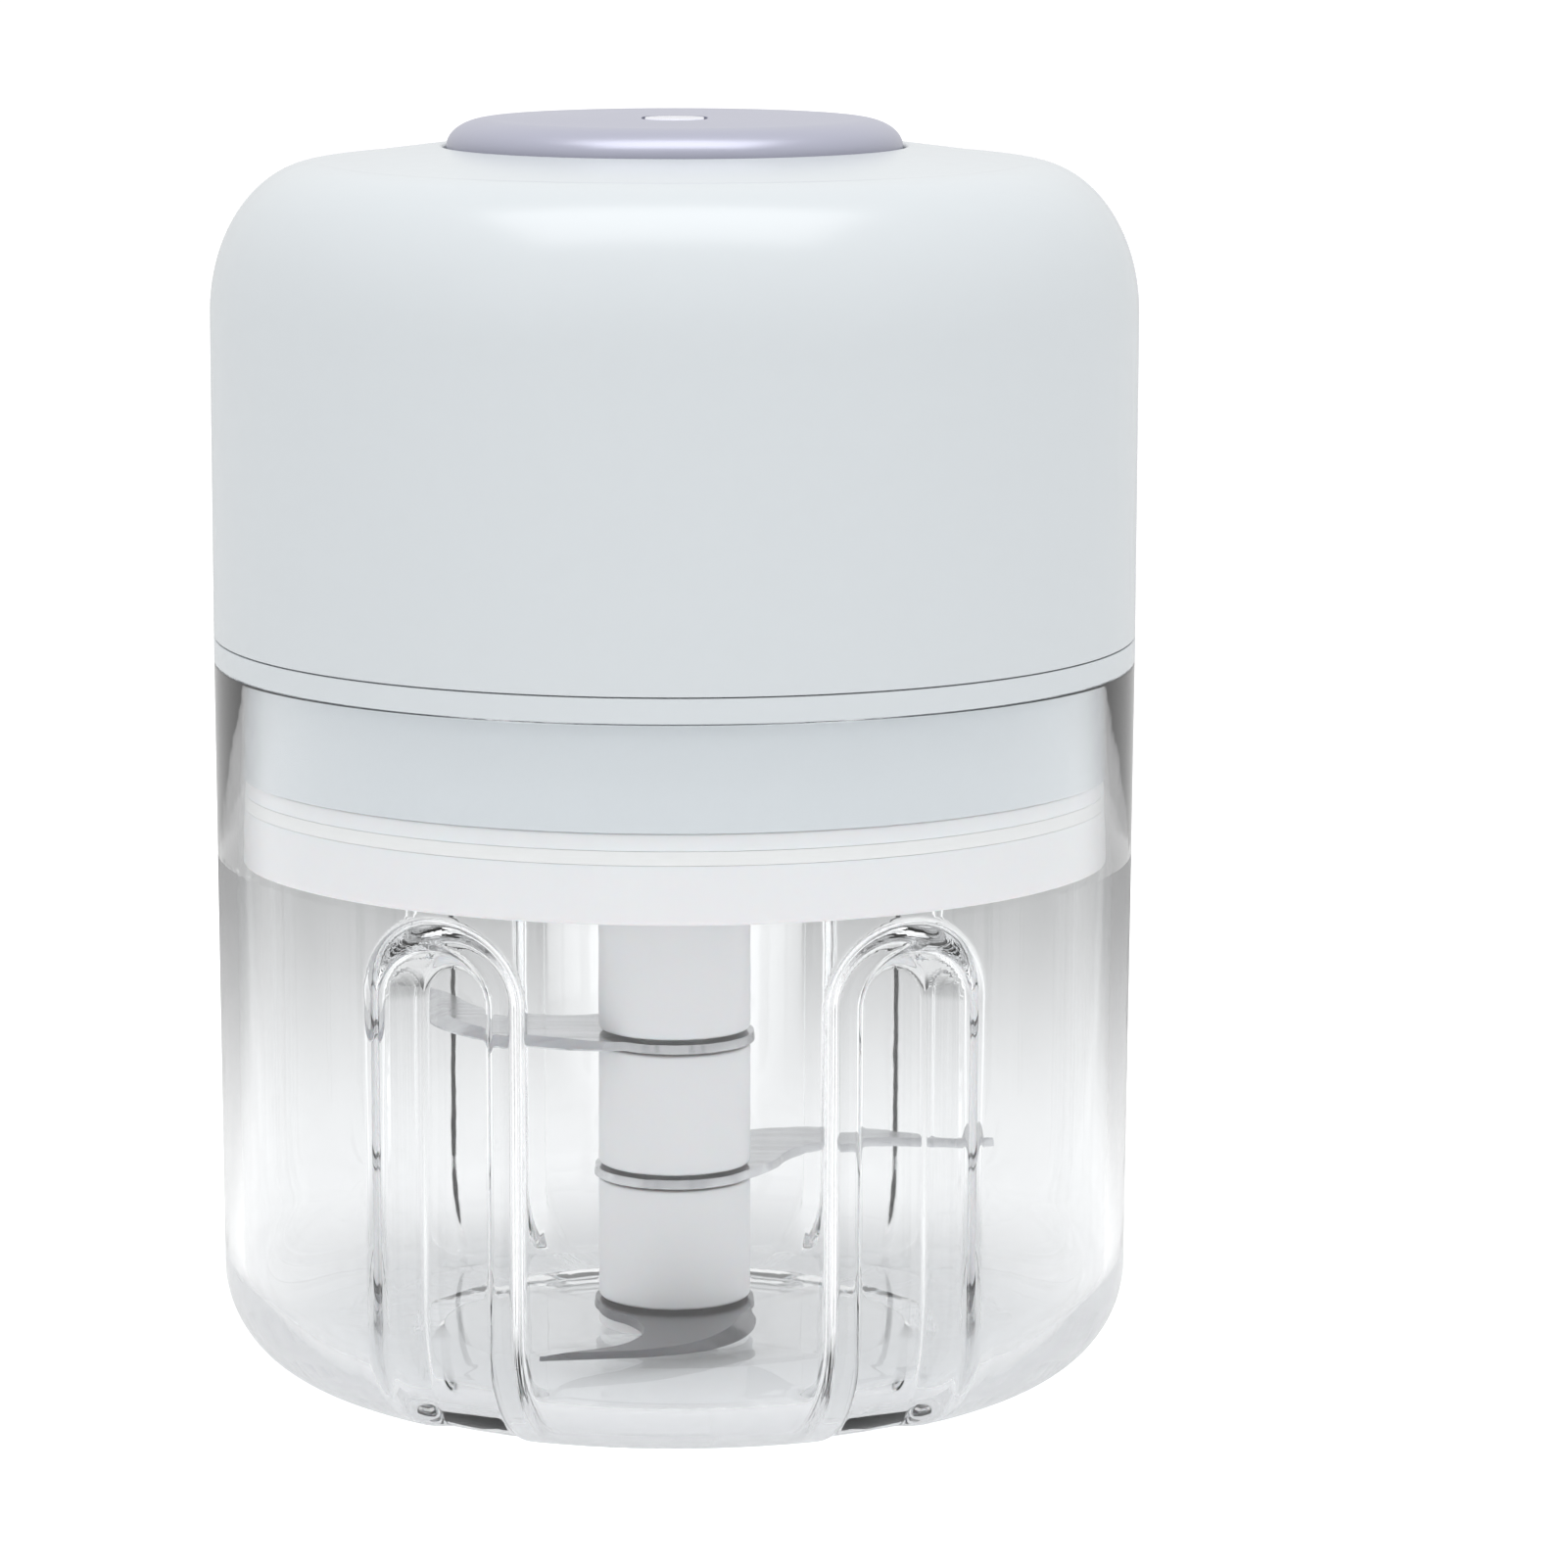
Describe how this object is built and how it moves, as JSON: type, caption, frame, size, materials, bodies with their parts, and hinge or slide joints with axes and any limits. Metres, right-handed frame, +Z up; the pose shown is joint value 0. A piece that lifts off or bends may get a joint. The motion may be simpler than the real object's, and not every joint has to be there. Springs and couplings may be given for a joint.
{
  "type": "food processor",
  "caption": "Small cordless food chopper: ribbed clear cup, tower of sickle blades, sealed inner lid, and a domed motor head with a push button on top and a charging socket behind.",
  "frame": {"origin": "centre of the cup's foot, on the surface the chopper stands on", "axes": "+Z up through the blade tower to the button; -Y is the front, +Y the side with the charging socket, +X the right-hand side"},
  "size_m": [0.082, 0.082, 0.1118],
  "materials": {
    "clear_plastic": "clear, polished",
    "housing_plastic": "glossy",
    "button_plastic": "satin",
    "window_plastic": "satin, milky",
    "white_plastic": "satin",
    "silicone": "matt",
    "blade_steel": "ground and polished",
    "steel": "plated",
    "brass": "turned",
    "copper": "wound wire and copper",
    "nylon": "satin",
    "dark_plastic": "satin",
    "seal_rubber": "matt",
    "ferrite": "matt",
    "circuit_board": "lacquered",
    "cell_sleeve": "shrink sleeve over a metal can"
  },
  "bodies": {
    "cup": {"cup": "clear_plastic", "pivot_pin": "steel"},
    "pivot_bush": {"pivot_bush": "brass"},
    "blade_tower": {"tower_core": "white_plastic", "lower_spacer": "white_plastic", "upper_spacer": "white_plastic", "bottom_blade": "blade_steel", "middle_blade": "blade_steel", "top_blade": "blade_steel", "tower_foot_ring": "white_plastic"},
    "inner_lid": {"inner_lid": "white_plastic", "lid_seal": "silicone"},
    "head": {"head_base": "housing_plastic", "head_shell": "housing_plastic", "ring_gear": "nylon", "gearbox_cover": "steel", "output_seal": "seal_rubber", "output_bush": "brass", "motor_can": "steel", "motor_end_cap": "dark_plastic", "motor_magnet_front": "ferrite", "motor_magnet_back": "ferrite", "battery_cell": "cell_sleeve", "battery_cradle": "dark_plastic", "charge_board": "circuit_board", "usb_socket": "steel", "usb_tongue": "dark_plastic", "switch_bracket": "dark_plastic", "switch_board": "circuit_board", "push_switch": "dark_plastic", "status_led": "window_plastic", "button_spring": "steel", "case_screw_1": "steel", "case_screw_2": "steel", "case_screw_3": "steel", "gearbox_screw_1": "steel", "gearbox_screw_2": "steel", "gearbox_screw_3": "steel", "motor_screw_1": "steel", "motor_screw_2": "steel"},
    "button": {"button_cap": "button_plastic", "button_window": "window_plastic"},
    "output": {"planet_carrier": "steel", "drive_dog": "nylon", "output_shaft": "steel", "planet_pin_1": "steel", "planet_pin_2": "steel", "planet_pin_3": "steel"},
    "rotor": {"armature": "copper", "commutator": "copper", "motor_shaft": "steel", "sun_gear": "brass"},
    "planet_1": {"planet_gear_1": "nylon"},
    "planet_2": {"planet_gear_2": "nylon"},
    "planet_3": {"planet_gear_3": "nylon"}
  },
  "joints": [
    {"name": "tower_lift", "type": "slide", "parent": "cup", "child": "pivot_bush", "axis": [0, 0, 1], "range_m": [0, 0.065]},
    {"name": "blade_spin", "type": "hinge", "parent": "pivot_bush", "child": "blade_tower", "pos_m": [0, 0, 0.01], "axis": [0, 0, 1], "continuous": true},
    {"name": "lid_lift", "type": "slide", "parent": "pivot_bush", "child": "inner_lid", "axis": [0, 0, 1], "range_m": [0, 0.035]},
    {"name": "head_lift", "type": "slide", "parent": "inner_lid", "child": "head", "axis": [0, 0, 1], "range_m": [0, 0.06]},
    {"name": "button_press", "type": "slide", "parent": "head", "child": "button", "axis": [0, 0, -1], "range_m": [0, 0.0015], "stiffness_N_per_m": 500, "springref_m": -0.0015, "deforming": ["button_spring"]},
    {"name": "output_spin", "type": "hinge", "parent": "head", "child": "output", "pos_m": [0, 0, 0.06], "axis": [0, 0, 1], "continuous": true},
    {"name": "rotor_spin", "type": "hinge", "parent": "head", "child": "rotor", "pos_m": [0, 0, 0.08], "axis": [0, 0, 1], "continuous": true},
    {"name": "planet_1_spin", "type": "hinge", "parent": "output", "child": "planet_1", "pos_m": [0.00672, 0, 0.063], "axis": [0, 0, 1], "continuous": true},
    {"name": "planet_2_spin", "type": "hinge", "parent": "output", "child": "planet_2", "pos_m": [-0.00336, 0.00582, 0.063], "axis": [0, 0, 1], "continuous": true},
    {"name": "planet_3_spin", "type": "hinge", "parent": "output", "child": "planet_3", "pos_m": [-0.00336, -0.00582, 0.063], "axis": [0, 0, 1], "continuous": true}
  ],
  "couplings": [
    {"joint": "output_spin", "follows": "blade_spin", "ratio": 1},
    {"joint": "rotor_spin", "follows": "blade_spin", "ratio": 4.6667},
    {"joint": "planet_1_spin", "follows": "blade_spin", "ratio": -2.75},
    {"joint": "planet_2_spin", "follows": "blade_spin", "ratio": -2.75},
    {"joint": "planet_3_spin", "follows": "blade_spin", "ratio": -2.75}
  ]
}
